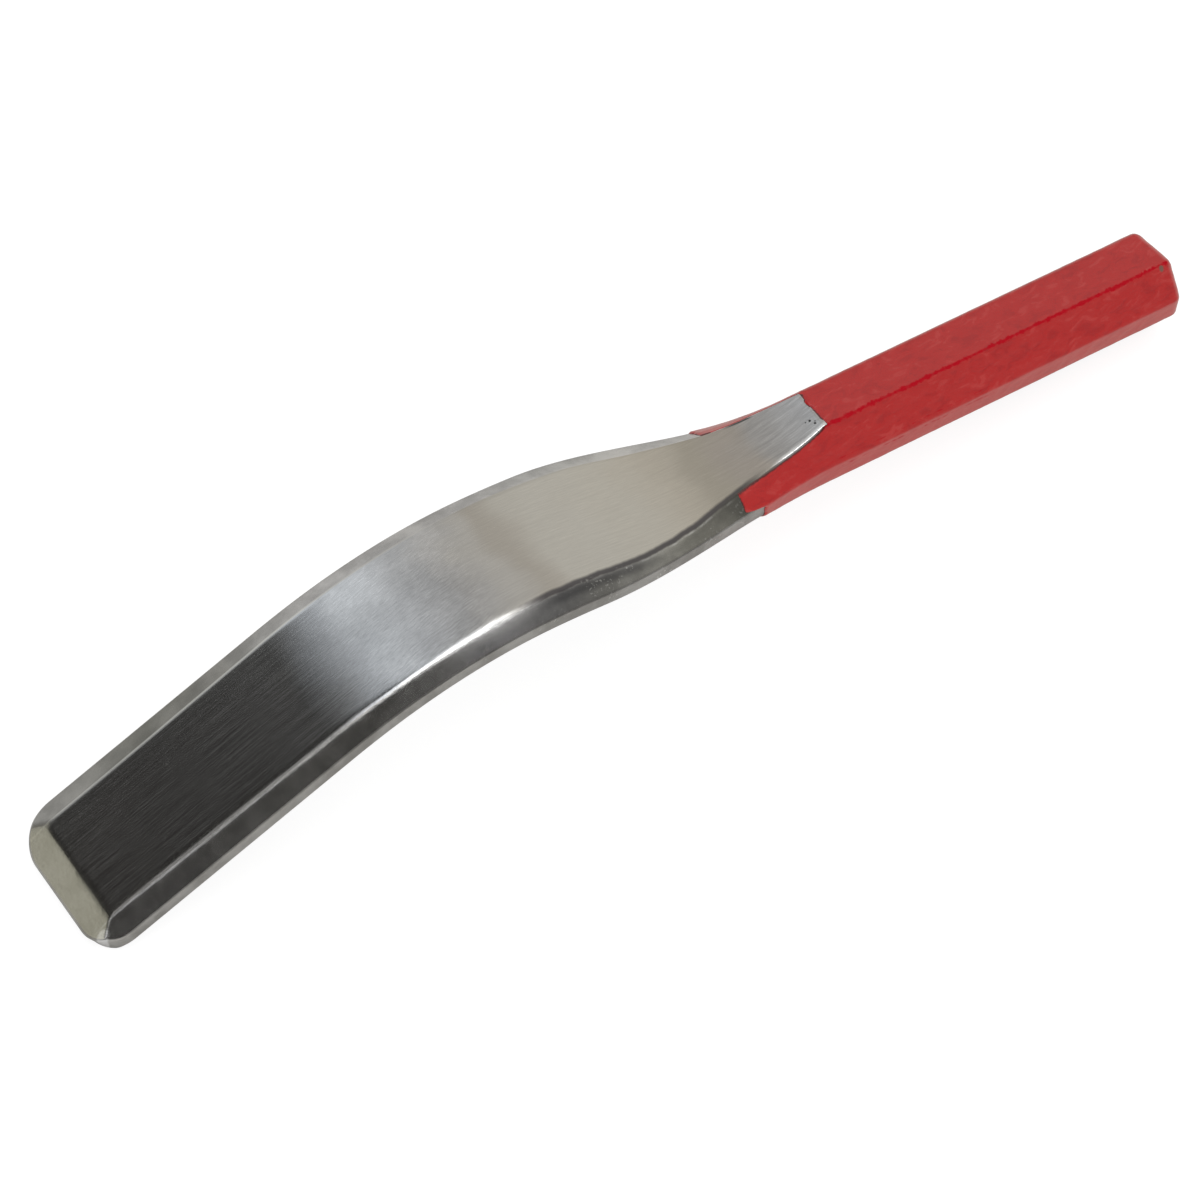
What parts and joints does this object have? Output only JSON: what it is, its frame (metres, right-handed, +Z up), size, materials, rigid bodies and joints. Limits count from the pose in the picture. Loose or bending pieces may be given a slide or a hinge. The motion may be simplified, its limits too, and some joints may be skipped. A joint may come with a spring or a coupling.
{
  "type": "tyre lever",
  "caption": "One-piece forged lever: hexagonal enamelled grip flowing into a broad arched steel blade with a bevelled tip, for prying and easing tyre beads or sheet metal.",
  "frame": {"origin": "centre of the overall box in plan, on the bench plane that the tip and the end of the bar both touch", "axes": "+X towards the end of the grip, +Z up from the bench, the blade's ground side facing up; the lever is symmetric about the XZ plane"},
  "size_m": [0.3055, 0.0398, 0.041],
  "materials": {
    "ground_steel": "ground along its length, satin to bright",
    "red_enamel": "thick gloss enamel, dipped, slightly uneven"
  },
  "bodies": {
    "root": {"forged_lever": "ground_steel", "handle_enamel": "red_enamel"}
  },
  "joints": []
}
